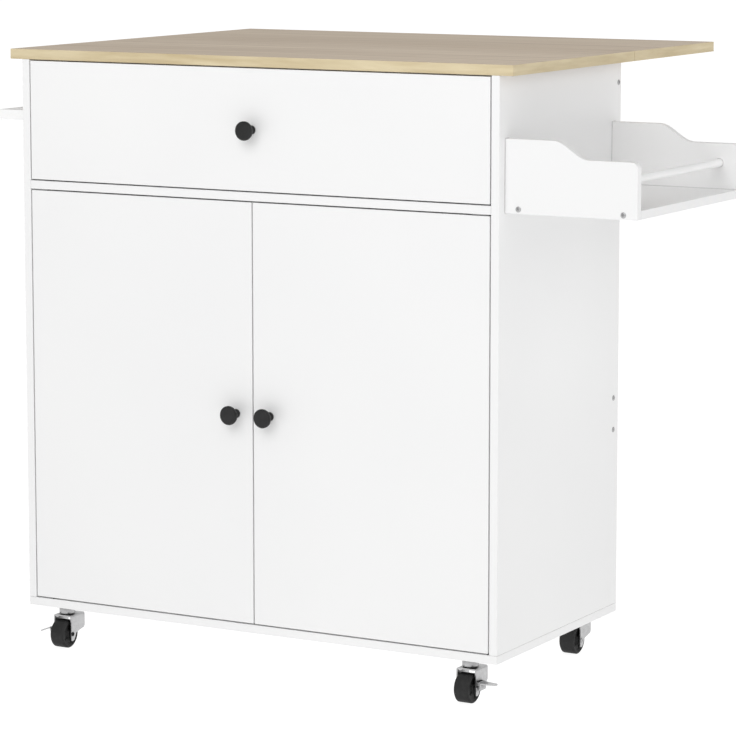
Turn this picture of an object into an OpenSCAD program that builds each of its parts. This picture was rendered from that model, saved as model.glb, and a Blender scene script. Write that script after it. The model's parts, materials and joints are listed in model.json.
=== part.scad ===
// Rolling kitchen island with a drop leaf, a drawer, two doors, a side rack and a towel rail.
// Millimetres. X runs to the right, Y to the back, Z up. The origin lies on the floor, under the
// middle of the whole object's outline, with the leaf raised.

/* [Cabinet] */
// Width of the cabinet over its side panels
body_w = 800; // [700:5:1000]
// Depth of the side panels
body_d = 395; // [350:5:500]
// Height from the underside of the bottom panel to the underside of the worktop
body_h = 831; // [760:1:900]
// Thickness of the coated boards
panel_t = 12.5; // [12:0.5:16]
// Running gap around the doors and the drawer front
front_gap = 2; // [1.8:0.1:3]
// Height of the drawer front
drawer_front_h = 177; // [150:1:200]
// Thickness of the hardboard back
back_t = 3; // [2.5:0.5:5]
// Depth of the groove that holds the hardboard back
back_groove = 5; // [3:0.5:6]
// Height of the top back rail
top_rail_h = 63; // [50:1:80]
// Setback of the top back rail from the rear edges
top_rail_set = 1.75; // [1.5:0.25:4]
// Height of the middle back rail
mid_rail_h = 80; // [70:1:100]
// Height of the middle back rail's centre above the cabinet's underside
mid_rail_z = 304; // [250:1:330]
// Distance between the two screws at each end of the middle back rail
mid_rail_screw_pitch = 48; // [30:1:55]
// Distance of the screws under the side panels from the front and the back edges
foot_screw_in = 75; // [60:1:110]
// Depth of the flat stretcher behind the drawer front
stretcher_d = 60; // [40:1:80]
// Distance of the stretcher's screws from the side panels
stretcher_screw_in = 60; // [30:1:120]
// Length of the screws through the stretcher into the worktop
stretcher_screw_l = 24; // [18:0.5:26]

/* [Shelf] */
// Height of the shelf's top face above the cabinet's underside
shelf_z = 330; // [320:1:340]
// Distance between two rows of shelf holes
shelf_step = 48; // [32:1:60]
// Distance of the shelf holes from the shelf's front and back edges
shelf_hole_in = 37.5; // [25:0.5:60]
// Side clearance of the shelf
shelf_gap = 1; // [0.5:0.5:2]
// Diameter of a shelf pin
pin_d = 5; // [4:0.5:6]
// Depth of a shelf pin in its panel
pin_in = 8; // [6:1:9]
// Length of a shelf pin under the shelf
pin_out = 8; // [6:1:12]
// Width of the collar around a shelf pin
pin_collar = 1.5; // [1:0.5:2.5]

/* [Worktop] */
// Thickness of the worktop and the leaf
top_t = 15; // [15:1:25]
// Overhang of the worktop at each side
top_side = 21; // [10:1:40]
// Length of the drop leaf
leaf_l = 292; // [200:1:350]
// Gap between the worktop and the leaf
leaf_gap = 1; // [0.8:0.1:1.5]

/* [Leaf hinges] */
// Width of a hinge strap
strap_w = 26; // [20:1:35]
// Thickness of a hinge strap
strap_t = 2; // [1.5:0.1:2.2]
// Length of the strap under the worktop
strap_fixed_l = 62; // [50:1:80]
// Length of the strap under the leaf
strap_leaf_l = 190; // [120:1:195]
// Outer diameter of a hinge knuckle
knuckle_d = 5.6; // [5:0.1:5.8]
// Diameter of a hinge pin
hinge_pin_d = 2.6; // [2:0.1:3]
// Distance of the outer hinges from the cabinet's middle
strap_x = 300; // [200:5:330]
// Side clearance of a strap in the top back rail
strap_gap = 1; // [0.5:0.1:2]
// Clearance between a knuckle and the boards above it
hinge_gap = 0.2; // [0.1:0.05:0.3]
// Length of the screws in the hinge straps
strap_screw_l = 12; // [8:0.5:13]
// Distance of the outermost screw from a strap's end
strap_screw_in = 10; // [6:0.5:12]

/* [Drawer] */
// Thickness of the drawer's side and back boards
drawer_t = 12; // [10:0.5:15]
// Height of the drawer's side and back boards
drawer_side_h = 120; // [90:1:130]
// Clear space between the drawer box and the top back rail
drawer_clear = 33.25; // [20:0.25:80]
// Height of the drawer box above the lower edge of its front
drawer_lift = 14; // [8:1:20]
// Thickness of the drawer bottom
drawer_bottom_t = 4; // [3:0.5:6]
// Depth of the grooves that hold the drawer bottom
drawer_groove = 6; // [4:0.5:7]

/* [Runners] */
// Width of the space that a runner fills
runner_w = 12.7; // [12.5:0.1:14]
// Height of a runner
runner_h = 45; // [35:1:46]
// Distance from a runner's rear end to the drawer box's rear face
runner_end = 3; // [0:0.5:30]
// Thickness of the runner steel
runner_t = 1.2; // [1:0.1:1.5]
// Clearance between the nested members
runner_gap = 0.4; // [0.3:0.05:0.5]
// Height of a runner's centre above the lower edge of the drawer's side board
runner_up = 50; // [45:1:55]

/* [Knobs] */
// Diameter of a knob's face
knob_d = 28; // [22:1:34]
// Projection of a knob
knob_l = 25; // [20:1:30]
// Diameter of a knob's neck
knob_neck_d = 11; // [9:0.5:14]
// Thickness of a knob's head
knob_head_t = 8; // [6:0.5:10]
// Distance of a door knob's centre from the middle of the cabinet
knob_x = 28.5; // [24:0.5:60]

/* [Door pivots and catch] */
// Distance of a pivot from the door's hinge edge
pivot_in = 15; // [15:0.5:20]
// Diameter of a pivot pin
pivot_d = 5; // [4:0.5:6]
// Depth of a pivot pin in the door
pivot_deep = 9; // [7:0.5:12]
// Clearance between a pivot's washer and the door
washer_gap = 0.3; // [0.2:0.05:0.4]
// Width of a pivot's washer around its pin
washer_w = 2; // [1.5:0.5:3]
// Thickness of a pivot plate
pivot_plate_t = 1.2; // [1:0.1:1.3]
// Length of a screw in a pivot plate
pivot_screw_l = 10; // [8:0.5:11]
// Width of the magnetic catch
catch_w = 48; // [40:1:60]
// Height of the magnetic catch
catch_h = 13; // [10:1:20]
// Depth of the magnetic catch
catch_d = 15; // [12:1:20]
// Clearance between the catch and a strike plate
catch_gap = 0.3; // [0.2:0.1:0.5]
// Thickness of a strike plate
strike_t = 1; // [0.8:0.1:1.5]
// Distance of a strike plate from the gap between the doors
strike_in = 3; // [2:0.5:6]

/* [Side rack] */
// Reach of the rack from the side panel
rack_reach = 202; // [160:1:240]
// Height of a rack board next to the cabinet
rack_high = 104; // [90:1:120]
// Height of a rack board at its outer part
rack_low = 79; // [65:1:85]
// Distance from the worktop's underside down to the rack's underside
rack_drop = 192; // [150:1:230]
// Distance from the cabinet's front to the rack, and from its back
rack_inset = 17.5; // [10:0.5:40]
// Length of the high part of a rack board
rack_step_x = 73; // [60:1:80]
// Length of the curved slope of a rack board
rack_slope_l = 56; // [50:1:70]
// Corner radius at the outer end of a rack board
rack_corner_r = 9; // [5:1:15]
// Diameter of the rack's retaining rod
rack_rod_d = 12; // [10:1:14]
// Distance of the retaining rod from the rack's outer end
rack_rod_in = 30; // [20:1:40]
// Height of the retaining rod's centre above the rack's underside
rack_rod_z = 50.5; // [40:0.5:60]
// Depth of the rod's ends in the rack boards
rack_rod_deep = 6; // [4:0.5:8]
// Distance of the rack's screws from its ends
rack_screw_in = 21; // [15:1:30]
// Heights of the two screws behind a rack board above its lower edge
rack_fix_up = [20, 45]; // [20:1:50]

/* [Towel rail] */
// Reach of the towel rail from the side panel
towel_reach = 61.5; // [50:0.5:90]
// Thickness of the towel rail and its arms
towel_t = 15; // [12:0.5:20]
// Distance from the worktop's underside down to the towel rail's centre
towel_drop = 85.5; // [60:0.5:130]
// Distance from the cabinet's front to the towel rail, and from its back
towel_inset = 17.5; // [10:0.5:60]

/* [Screws] */
// Diameter of a screw shank
screw_d = 4; // [3:0.5:5]
// Diameter of a screw head
screw_head_d = 8; // [7:0.5:9]
// Thickness of a screw head
screw_head_t = 1; // [0.8:0.1:2]
// Length of a screw shank
screw_l = 35; // [30:1:45]
// Radial clearance of a shank or a pin in its hole
fit_gap = 0.05; // [0.02:0.01:0.1]

/* [Casters] */
// Height of a caster from the floor to its mounting face
caster_h = 63; // [60:0.5:75]
// Distance of a caster's swivel axis from the side of the cabinet
caster_side = 53.5; // [48:0.5:80]
// Distance of the front casters' swivel axes from the front of the cabinet
caster_front = 22.5; // [20:0.5:60]
// Distance of the back casters' swivel axes from the back of the cabinet
caster_back = 31.5; // [20:0.5:60]
// Diameter of a wheel
wheel_d = 43; // [38:1:44]
// Width of a wheel
wheel_w = 24; // [20:0.5:26]
// Diameter of a wheel's axle
axle_d = 5; // [4:0.5:6]
// Trail of the axle ahead of the swivel axis
caster_trail = 9.5; // [8:0.5:11]
// Outer width of a fork
fork_w = 32; // [31:0.5:36]
// Thickness of the fork steel
fork_t = 2; // [1.5:0.1:2.4]
// Clearance between a wheel and the top of its fork
wheel_gap = 5; // [4:0.5:6]
// Distance from the swivel axis to a fork's front edge
fork_front = 13; // [13:0.5:16]
// Distance from the swivel axis to a fork's back edge
fork_back = 23; // [20:0.5:26]
// Outer radius of a fork's bends
fork_bend = 3; // [2.5:0.5:5]
// Diameter of the flange under the cabinet
flange_d = 25; // [25:1:36]
// Thickness of that flange
flange_t = 2; // [1.5:0.5:3]
// Diameter of the swivel race
race_d = 24; // [18:1:25]
// Diameter of a caster's stem
stem_d = 8; // [6:0.5:10]
// Length of a caster's stem above its flange
stem_l = 11; // [8:0.5:11]
// Outer diameter of the sleeve that holds a stem
insert_d = 12; // [11:0.5:14]
// Reach of a brake pedal from its fork
pedal_l = 30; // [24:1:34]
// Angle through which a brake pedal is pressed
pedal_press = 22; // [15:1:24]

/* [Hidden] */

$fn = 48;
// A small overcut, so that a cut leaves no skin
over = 1;

// Board finish and metal colours
white = [0.95, 0.95, 0.95];
oak = [0.83, 0.72, 0.53];
black = [0.12, 0.12, 0.12];
steel = [0.75, 0.75, 0.76];

// Levels above the floor
base_z = caster_h;
carcass_z = base_z + panel_t;
top_z = base_z + body_h;
drawer_front_z = top_z - front_gap - drawer_front_h;
divider_z = drawer_front_z - front_gap - panel_t;
door_z = carcass_z + front_gap;
door_h = divider_z - front_gap - door_z;
shelf_top = base_z + shelf_z;

// Half widths
inside_x = body_w / 2 - panel_t;
front_x = inside_x - front_gap;
box_x = inside_x - runner_w;
top_x = body_w / 2 + top_side;
door_w = front_x - front_gap / 2;

// Depths of the back parts
top_rail_y = body_d - top_rail_set - panel_t;
back_y = body_d - top_rail_set - panel_t / 2 - back_t / 2;
mid_rail_y = back_y - panel_t;

// Hinge axis of the leaf
seam_y = body_d + leaf_gap;
hinge_y = seam_y + leaf_gap / 2;
hinge_z = top_z - knuckle_d / 2 - hinge_gap;
leaf_y = seam_y + leaf_gap;
hinge_x = [-strap_x, 0, strap_x];

// Outline of the whole object, which sets the origin
outline_left = body_w / 2 + towel_reach;
outline_right = body_w / 2 + rack_reach;
outline_back = leaf_y + leaf_l;
origin_x = (outline_right - outline_left) / 2;
origin_y = (outline_back - knob_l) / 2;

// Places of the rack's boards, rod and screws
rack_bottom = top_z - rack_drop;
rack_x = body_w / 2;
rack_front_y = rack_inset;
rack_back_y = body_d - rack_inset - panel_t;
rod_rack_x = rack_x + rack_reach - rack_rod_in;
rod_rack_z = rack_bottom + rack_rod_z;
rack_screw_x = [rack_x + rack_screw_in, rack_x + rack_reach - rack_screw_in];

// Places of the towel rod and its arms
towel_x = -body_w / 2 - towel_reach + towel_t / 2;
towel_mid_z = top_z - towel_drop;
towel_arm_y = [towel_inset, body_d - towel_inset - towel_t];

// A solid box between two corners
module box(low, high) {
    translate(low) cube(high - low);
}

// Everything is drawn from the middle of the cabinet's front and moved to the origin here
module placed() {
    translate([-origin_x, -origin_y, 0]) children();
}

// The same piece on the right and, mirrored, on the left
module both_sides() {
    children();
    mirror([1, 0, 0]) children();
}

// A rod along X, Y or Z, from a point
module rod_x(at, d, l) {
    translate(at) rotate([0, 90, 0]) cylinder(d = d, h = l);
}

module rod_y(at, d, l) {
    translate(at) rotate([-90, 0, 0]) cylinder(d = d, h = l);
}

module rod_z(at, d, l) {
    translate(at) cylinder(d = d, h = l);
}

// ---------------------------------------------------------------- cabinet

// Screw places in the side panels, as [y, z]
carcass_screw_at = concat(
    [[top_rail_y + panel_t / 2, top_z - top_rail_h / 2]],
    [for (up = [-1, 1]) [mid_rail_y + panel_t / 2,
                         base_z + mid_rail_z + up * mid_rail_screw_pitch / 2]]
);

// Screws from below, through the bottom panel into the side panels
foot_screw_x = body_w / 2 - panel_t / 2;
foot_screw_y = [foot_screw_in, body_d - foot_screw_in];

module foot_screw_holes() {
    for (x = [-1, 1], y = foot_screw_y)
        rod_z([x * foot_screw_x, y, base_z - over], screw_d + 2 * fit_gap,
              over + screw_l + fit_gap);
}

// Screws through the front stretcher up into the worktop
stretcher_screw_at = [for (x = [-inside_x + stretcher_screw_in, 0, inside_x - stretcher_screw_in])
    [x, panel_t + front_gap + stretcher_d / 2]];

module stretcher_screw_holes() {
    for (at = stretcher_screw_at)
        rod_z([at[0], at[1], top_z - panel_t - over], screw_d + 2 * fit_gap,
              over + stretcher_screw_l + fit_gap);
}

// Shelf hole columns, and rows around the shelf
shelf_front_y = 2 * panel_t + front_gap;
shelf_back_y = mid_rail_y - shelf_gap;
shelf_hole_y = [shelf_front_y + shelf_hole_in, shelf_back_y - shelf_hole_in];
shelf_hole_z = shelf_top - panel_t - pin_d / 2;

module side_panel(side) {
    inner = side * inside_x;
    outer = side * body_w / 2;
    color(white) difference() {
        box([min(inner, outer), 0, carcass_z], [max(inner, outer), body_d, top_z]);
        // groove for the hardboard back
        box([side > 0 ? inner - over : inner - back_groove, back_y - fit_gap, carcass_z - over],
            [side > 0 ? inner + back_groove : inner + over, back_y + back_t + fit_gap,
             top_z - top_rail_h]);
        for (at = carcass_screw_at)
            rod_x([min(inner, outer) - over, at[0], at[1]], screw_d + 2 * fit_gap,
                  panel_t + 2 * over);
        for (at = side > 0 ? rack_fix_at : towel_fix_at)
            rod_x([min(inner, outer) - over, at[0], at[1]], screw_d + 2 * fit_gap,
                  panel_t + 2 * over);
        for (y = shelf_hole_y, row = [-1:1])
            rod_x([side > 0 ? inner - over : inner - pin_in - fit_gap, y,
                   shelf_hole_z + row * shelf_step],
                  pin_d + 2 * fit_gap, pin_in + fit_gap + over);
        foot_screw_holes();
    }
}

module left_side_panel() { placed() side_panel(-1); }
module right_side_panel() { placed() side_panel(1); }

module bottom_panel() {
    placed() color(white) difference() {
        box([-body_w / 2, 0, base_z], [body_w / 2, body_d, carcass_z]);
        pivot_screw_holes();
        foot_screw_holes();
        for (side = [-1, 1], row = [0, 1]) at_caster(side, row)
            rod_z([0, 0, base_z - over], insert_d + 2 * fit_gap, stem_l + fit_gap + over);
    }
}

module divider_panel() {
    placed() color(white) difference() {
        box([-inside_x, 0, divider_z], [inside_x, back_y, divider_z + panel_t]);
        pivot_screw_holes();
    }
}

module back_panel() {
    placed() color(white)
        box([-inside_x - back_groove + fit_gap, back_y, carcass_z],
            [inside_x + back_groove - fit_gap, back_y + back_t, top_z - top_rail_h]);
}

module top_back_rail() {
    placed() color(white) difference() {
        box([-inside_x, top_rail_y, top_z - top_rail_h],
            [inside_x, top_rail_y + panel_t, top_z]);
        // slots for the hinge straps
        for (x = hinge_x)
            box([x - strap_w / 2 - strap_gap, top_rail_y - over, top_z - strap_t - fit_gap],
                [x + strap_w / 2 + strap_gap, top_rail_y + panel_t + over, top_z + over]);
        rail_screw_holes([carcass_screw_at[0]]);
    }
}

module middle_back_rail() {
    placed() color(white) difference() {
        box([-inside_x, mid_rail_y, base_z + mid_rail_z - mid_rail_h / 2],
            [inside_x, mid_rail_y + panel_t, base_z + mid_rail_z + mid_rail_h / 2]);
        rail_screw_holes([carcass_screw_at[1], carcass_screw_at[2]]);
    }
}

// Pilot holes in both ends of a rail, as deep as the screws reach
module rail_screw_holes(places) {
    deep = screw_l - panel_t;
    for (at = places) {
        rod_x([-inside_x - over, at[0], at[1]], screw_d + 2 * fit_gap, deep + over + fit_gap);
        rod_x([inside_x - deep - fit_gap, at[0], at[1]], screw_d + 2 * fit_gap,
              deep + over + fit_gap);
    }
}

module front_stretcher() {
    placed() color(white) difference() {
        box([-inside_x, panel_t + front_gap, top_z - panel_t],
            [inside_x, panel_t + front_gap + stretcher_d, top_z]);
        stretcher_screw_holes();
    }
}

module shelf() {
    placed() color(white)
        box([-inside_x + shelf_gap, shelf_front_y, shelf_top - panel_t],
            [inside_x - shelf_gap, shelf_back_y, shelf_top]);
}

module shelf_pins() {
    collar_t = shelf_gap / 2;
    placed() color(steel) both_sides() for (y = shelf_hole_y) {
        rod_x([inside_x - pin_out, y, shelf_hole_z], pin_d, pin_out + pin_in);
        rod_x([inside_x - collar_t, y, shelf_hole_z], pin_d + 2 * pin_collar, collar_t);
    }
}

// A screw along X with its head on the outside; side is the direction that the head faces
module side_screw(x, y, z, side) {
    rod_x([side > 0 ? x - screw_l : x, y, z], screw_d, screw_l);
    rod_x([side > 0 ? x : x - screw_head_t, y, z], screw_head_d, screw_head_t);
}

// Screws that hold the rack boards and the towel arms, driven from inside the cabinet, as [y, z]
rack_fix_at = [for (y = [rack_front_y, rack_back_y], up = rack_fix_up)
    [y + panel_t / 2, rack_bottom + up]];
towel_fix_at = [for (y = towel_arm_y) [y + towel_t / 2, towel_mid_z]];

module bracket_screws() {
    placed() color(steel) {
        for (at = rack_fix_at) side_screw(inside_x, at[0], at[1], -1);
        for (at = towel_fix_at) side_screw(-inside_x, at[0], at[1], 1);
    }
}

// Pilot holes outside a side panel, as deep as those screws reach
module fixing_holes(side, places) {
    deep = screw_l - panel_t;
    for (at = places)
        rod_x([side > 0 ? body_w / 2 - over : -body_w / 2 - deep - fit_gap, at[0], at[1]],
              screw_d + 2 * fit_gap, deep + over + fit_gap);
}

// A screw along Z, driven from below, with its head under z
module lift_screw(x, y, z, l) {
    rod_z([x, y, z], screw_d, l);
    rod_z([x, y, z - screw_head_t], screw_head_d, screw_head_t);
}

module carcass_screws() {
    placed() color(steel) {
        for (side = [-1, 1], at = carcass_screw_at)
            side_screw(side * body_w / 2, at[0], at[1], side);
        for (side = [-1, 1], y = foot_screw_y) lift_screw(side * foot_screw_x, y, base_z, screw_l);
        for (at = stretcher_screw_at)
            lift_screw(at[0], at[1], top_z - panel_t, stretcher_screw_l);
    }
}

// ---------------------------------------------------------------- worktop and leaf

module worktop() {
    placed() color(oak) difference() {
        box([-top_x, 0, top_z], [top_x, seam_y, top_z + top_t]);
        strap_holes(fixed_screw_y);
        stretcher_screw_holes();
    }
}

module drop_leaf() {
    placed() color(oak) difference() {
        box([-top_x, leaf_y, top_z], [top_x, outline_back, top_z + top_t]);
        strap_holes(leaf_screw_y);
    }
}

// A hinge has five knuckles: three belong to the worktop strap, two to the leaf strap
knuckle_l = strap_w / 5;

module knuckles(x, first) {
    for (i = [first:2:4])
        rod_x([x - strap_w / 2 + i * knuckle_l + fit_gap, hinge_y, hinge_z],
              knuckle_d, knuckle_l - 2 * fit_gap);
}

// Room for the other strap's knuckles
module knuckle_room(x, first) {
    for (i = [first:2:4])
        rod_x([x - strap_w / 2 + i * knuckle_l - fit_gap, hinge_y, hinge_z],
              knuckle_d + 4 * fit_gap, knuckle_l + 2 * fit_gap);
}

module hinge_bore(x) {
    rod_x([x - strap_w / 2 - over, hinge_y, hinge_z], hinge_pin_d + 2 * fit_gap,
          strap_w + 2 * over);
}

// Screw places in the straps along Y: two ahead of the top back rail, three under the leaf
screw_clear = 1;
fixed_screw_y = [seam_y - strap_fixed_l + strap_screw_in,
                 top_rail_y - screw_head_d / 2 - screw_clear];
leaf_screws = 3;
leaf_screw_y = [for (i = [0:leaf_screws - 1])
    leaf_y + strap_screw_in + i * (strap_leaf_l - 2 * strap_screw_in) / (leaf_screws - 1)];

module strap_holes(places) {
    for (x = hinge_x, y = places)
        rod_z([x, y, top_z - strap_t - over], screw_d + 2 * fit_gap,
              over + strap_screw_l + fit_gap);
}

module strap_screws(places) {
    color(steel) for (x = hinge_x, y = places) lift_screw(x, y, top_z - strap_t, strap_screw_l);
}

module worktop_strap_screws() { placed() strap_screws(fixed_screw_y); }
module leaf_strap_screws() { placed() strap_screws(leaf_screw_y); }

module worktop_hinge_straps() {
    placed() color(steel) for (x = hinge_x) difference() {
        union() {
            box([x - strap_w / 2, seam_y - strap_fixed_l, top_z - strap_t],
                [x + strap_w / 2, hinge_y - fit_gap, top_z]);
            knuckles(x, 0);
        }
        knuckle_room(x, 1);
        hinge_bore(x);
        strap_holes(fixed_screw_y);
    }
}

module leaf_hinge_straps() {
    placed() color(steel) for (x = hinge_x) difference() {
        union() {
            box([x - strap_w / 2, hinge_y + fit_gap, top_z - strap_t],
                [x + strap_w / 2, leaf_y + strap_leaf_l, top_z]);
            knuckles(x, 1);
        }
        knuckle_room(x, 0);
        hinge_bore(x);
        strap_holes(leaf_screw_y);
    }
}

module leaf_hinge_pins() {
    placed() color(steel) for (x = hinge_x)
        rod_x([x - strap_w / 2, hinge_y, hinge_z], hinge_pin_d, strap_w);
}

// ---------------------------------------------------------------- drawer and runners

drawer_z = drawer_front_z + drawer_lift;
drawer_back_y = top_rail_y - drawer_clear;
drawer_mid_z = drawer_front_z + drawer_front_h / 2;
runner_z = drawer_z + runner_up;
runner_y = panel_t + front_gap;
runner_l = drawer_back_y - runner_end - runner_y;

// Hole for the knob's screw
module knob_hole(x, z) {
    rod_y([x, -over, z], screw_d + 2 * fit_gap, panel_t + 2 * over);
}

module drawer_front() {
    placed() color(white) difference() {
        box([-front_x, 0, drawer_front_z], [front_x, panel_t, drawer_front_z + drawer_front_h]);
        knob_hole(0, drawer_mid_z);
    }
}

// Groove for the drawer bottom, a little above the lower edge of the boards
bottom_z = drawer_z + drawer_t;

module drawer_bottom_slot() {
    box([-box_x + drawer_t - drawer_groove, panel_t - over, bottom_z - fit_gap],
        [box_x - drawer_t + drawer_groove, drawer_back_y - drawer_t + drawer_groove,
         bottom_z + drawer_bottom_t + fit_gap]);
}

module drawer_side(side) {
    inner = side * (box_x - drawer_t);
    outer = side * box_x;
    color(white) difference() {
        box([min(inner, outer), panel_t, drawer_z],
            [max(inner, outer), drawer_back_y, drawer_z + drawer_side_h]);
        drawer_bottom_slot();
    }
}

module drawer_left_side() { placed() drawer_side(-1); }
module drawer_right_side() { placed() drawer_side(1); }

module drawer_back() {
    placed() color(white) difference() {
        box([-box_x + drawer_t, drawer_back_y - drawer_t, drawer_z],
            [box_x - drawer_t, drawer_back_y, drawer_z + drawer_side_h]);
        drawer_bottom_slot();
    }
}

module drawer_bottom() {
    inset = drawer_groove - fit_gap;
    placed() color(white)
        box([-box_x + drawer_t - inset, panel_t, bottom_z],
            [box_x - drawer_t + inset, drawer_back_y - drawer_t + inset,
             bottom_z + drawer_bottom_t]);
}

// A channel along Y, open towards -X, with its web between x - runner_t and x
module channel(x, depth, h) {
    difference() {
        box([x - depth, runner_y, runner_z - h / 2], [x, runner_y + runner_l, runner_z + h / 2]);
        box([x - depth - over, runner_y - over, runner_z - h / 2 + runner_t],
            [x - runner_t, runner_y + runner_l + over, runner_z + h / 2 - runner_t]);
    }
}

// The nested members: each leaves the running gap inside the one around it
runner_step = runner_t + runner_gap;
mid_h = runner_h - 2 * runner_step;
inner_h = mid_h - 2 * runner_step;

module cabinet_runners() {
    placed() color(steel) both_sides()
        channel(inside_x, runner_w - 2 * runner_gap, runner_h);
}

module middle_runners() {
    placed() color(steel) both_sides()
        channel(inside_x - runner_step, runner_w - 2 * runner_step - runner_gap, mid_h);
}

module drawer_runners() {
    depth = runner_w - 2 * runner_step - runner_gap;
    placed() color(steel) both_sides()
        translate([2 * box_x + depth, 0, 0]) mirror([1, 0, 0])
            channel(box_x + depth, depth, inner_h);
}

// A mushroom knob with its screw, on the front face, towards -Y
module knob(x, z) {
    foot_t = 1;
    flare = 2;
    rim_r = 2;
    neck_r = knob_neck_d / 2;
    head_z = knob_l - knob_head_t;
    // profile from the foot to the head, as [radius, projection]
    outline = [
        [0, 0], [neck_r + flare / 2, 0], [neck_r + flare / 2, foot_t],
        [neck_r - flare / 2, foot_t + flare], [neck_r - flare / 2, head_z - flare],
        [knob_d / 2 - flare, head_z], [knob_d / 2, head_z + flare],
        [knob_d / 2, knob_l - rim_r], [knob_d / 2 - rim_r, knob_l], [0, knob_l]
    ];
    color(black) translate([x, 0, z]) rotate([90, 0, 0]) rotate_extrude() polygon(outline);
    color(steel) rod_y([x, 0, z], screw_d, panel_t);
    color(steel) rod_y([x, panel_t, z], screw_head_d, screw_head_t);
}

module drawer_knob() { placed() knob(0, drawer_mid_z); }

// ---------------------------------------------------------------- doors

pivot_x = front_x - pivot_in;
pivot_y = panel_t / 2;

module door(side) {
    color(white) difference() {
        box([side > 0 ? front_gap / 2 : -front_x, 0, door_z],
            [side > 0 ? front_x : -front_gap / 2, panel_t, door_z + door_h]);
        knob_hole(side * knob_x, door_z + door_h / 2);
        for (z = [door_z - over, door_z + door_h - pivot_deep - fit_gap])
            rod_z([side * pivot_x, pivot_y, z], pivot_d + 2 * fit_gap,
                  pivot_deep + over + fit_gap);
    }
}

module left_door() { placed() door(-1); }
module right_door() { placed() door(1); }
module left_door_knob() { placed() knob(-knob_x, door_z + door_h / 2); }
module right_door_knob() { placed() knob(knob_x, door_z + door_h / 2); }

// Screws of a pivot plate: behind the circle that the door's hinge edge sweeps
door_sweep = sqrt(pivot_in * pivot_in + pivot_y * pivot_y);
pivot_screw_y = [for (i = [0, 1])
    pivot_y + door_sweep + screw_clear + screw_head_d / 2 + i * (screw_head_d + screw_clear)];

// A pivot plate lies in the gap under a door, and its pin enters the door
module pivot_plate() {
    plate_x = pivot_in - front_gap;
    washer_t = front_gap - pivot_plate_t - washer_gap;
    pin_l = front_gap + pivot_deep - over;
    difference() {
        union() {
            box([pivot_x - plate_x, front_gap / 2, 0],
                [pivot_x + plate_x, pivot_screw_y[1] + screw_head_d / 2 + screw_clear,
                 pivot_plate_t]);
            rod_z([pivot_x, pivot_y, 0], pivot_d, pin_l);
            rod_z([pivot_x, pivot_y, pivot_plate_t], pivot_d + 2 * washer_w, washer_t);
        }
        for (y = pivot_screw_y) rod_z([pivot_x, y, -over], screw_d + 2 * fit_gap,
                                      pivot_plate_t + 2 * over);
    }
}

// What stands on the bottom panel, and upside down under the divider panel, on both sides
module at_pivots() {
    translate([0, 0, carcass_z]) both_sides() children();
    translate([0, 0, divider_z]) mirror([0, 0, 1]) both_sides() children();
}

module door_pivot_plates() {
    placed() color(steel) at_pivots() pivot_plate();
}

module pivot_screws() {
    placed() color(steel) at_pivots() for (y = pivot_screw_y) {
        rod_z([pivot_x, y, pivot_plate_t - pivot_screw_l], screw_d, pivot_screw_l);
        rod_z([pivot_x, y, pivot_plate_t], screw_head_d, screw_head_t);
    }
}

module pivot_screw_holes() {
    at_pivots() for (y = pivot_screw_y)
        rod_z([pivot_x, y, pivot_plate_t - pivot_screw_l - fit_gap], screw_d + 2 * fit_gap,
              pivot_screw_l + fit_gap);
}

catch_y = panel_t + strike_t + catch_gap;

module magnetic_catch() {
    placed() color(white)
        box([-catch_w / 2, catch_y, divider_z - catch_h],
            [catch_w / 2, catch_y + catch_d, divider_z]);
}

module strike_plate(side) {
    near = side * (front_gap / 2 + strike_in);
    far = side * catch_w / 2;
    color(steel)
        box([min(near, far), panel_t, divider_z - catch_h],
            [max(near, far), panel_t + strike_t, divider_z - front_gap - screw_clear]);
}

module left_strike_plate() { placed() strike_plate(-1); }
module right_strike_plate() { placed() strike_plate(1); }

// ---------------------------------------------------------------- side rack

// Outline of a rack board, as seen from the front: high at the cabinet, then a wave down
function wave(n) = [for (i = [0:n])
    [rack_step_x + rack_slope_l * i / n,
     rack_low + (rack_high - rack_low) * (1 + cos(180 * i / n)) / 2]];

module rack_outline() {
    difference() {
        polygon(concat([[0, 0], [0, rack_high]], wave(16),
                       [[rack_reach, rack_low], [rack_reach, 0]]));
        translate([rack_reach - rack_corner_r, rack_low - rack_corner_r]) difference() {
            square(rack_corner_r + over);
            circle(r = rack_corner_r);
        }
    }
}

module rack_board(y, outside) {
    color(white) difference() {
        translate([rack_x, y + panel_t, rack_bottom]) rotate([90, 0, 0])
            linear_extrude(panel_t) rack_outline();
        for (x = rack_screw_x)
            rod_y([x, y - over, rack_bottom + panel_t / 2], screw_d + 2 * fit_gap,
                  panel_t + 2 * over);
        rod_y([rod_rack_x, outside < 0 ? y + panel_t - rack_rod_deep - fit_gap : y - over,
               rod_rack_z],
              rack_rod_d + 2 * fit_gap, rack_rod_deep + over + fit_gap);
        fixing_holes(1, rack_fix_at);
    }
}

module rack_front_board() { placed() rack_board(rack_front_y, -1); }
module rack_back_board() { placed() rack_board(rack_back_y, 1); }

module rack_floor() {
    deep = screw_l - panel_t;
    placed() color(white) difference() {
        box([rack_x, rack_front_y + panel_t, rack_bottom],
            [rack_x + rack_reach, rack_back_y, rack_bottom + panel_t]);
        for (x = rack_screw_x) {
            rod_y([x, rack_front_y + panel_t - over, rack_bottom + panel_t / 2],
                  screw_d + 2 * fit_gap, deep + over + fit_gap);
            rod_y([x, rack_back_y - deep - fit_gap, rack_bottom + panel_t / 2],
                  screw_d + 2 * fit_gap, deep + over + fit_gap);
        }
    }
}

module rack_rod() {
    placed() color(white)
        rod_y([rod_rack_x, rack_front_y + panel_t - rack_rod_deep, rod_rack_z], rack_rod_d,
              rack_back_y - rack_front_y - panel_t + 2 * rack_rod_deep);
}

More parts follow.
